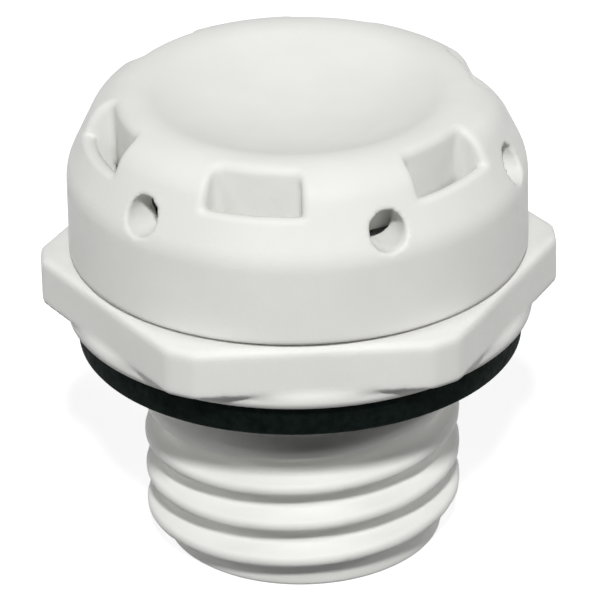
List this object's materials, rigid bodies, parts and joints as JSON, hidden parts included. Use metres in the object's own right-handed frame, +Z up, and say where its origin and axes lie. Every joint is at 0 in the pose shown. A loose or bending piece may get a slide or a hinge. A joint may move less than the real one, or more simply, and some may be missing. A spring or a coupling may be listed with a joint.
{
  "type": "breather vent plug",
  "caption": "Pressure-balancing vent plug: slotted dished cap on a hexagon flange with a rubber gasket and a short threaded shank, for letting a sealed enclosure breathe.",
  "frame": {"origin": "centre of the shank's flat end, which the plug stands on", "axes": "+Z up along the thread's axis towards the cap, -Y to the front with a flat of the hexagon facing it"},
  "size_m": [0.019, 0.0172, 0.0179],
  "materials": {
    "body_plastic": "fine satin moulding in pale warm grey",
    "cap_plastic": "fine satin moulding in pale warm grey",
    "gasket_rubber": "matte black sheet rubber",
    "membrane_film": "white porous film with a fibrous face"
  },
  "bodies": {
    "root": {"threaded_body": "body_plastic", "vent_cap": "cap_plastic", "sealing_gasket": "gasket_rubber", "vent_membrane": "membrane_film"}
  },
  "joints": []
}
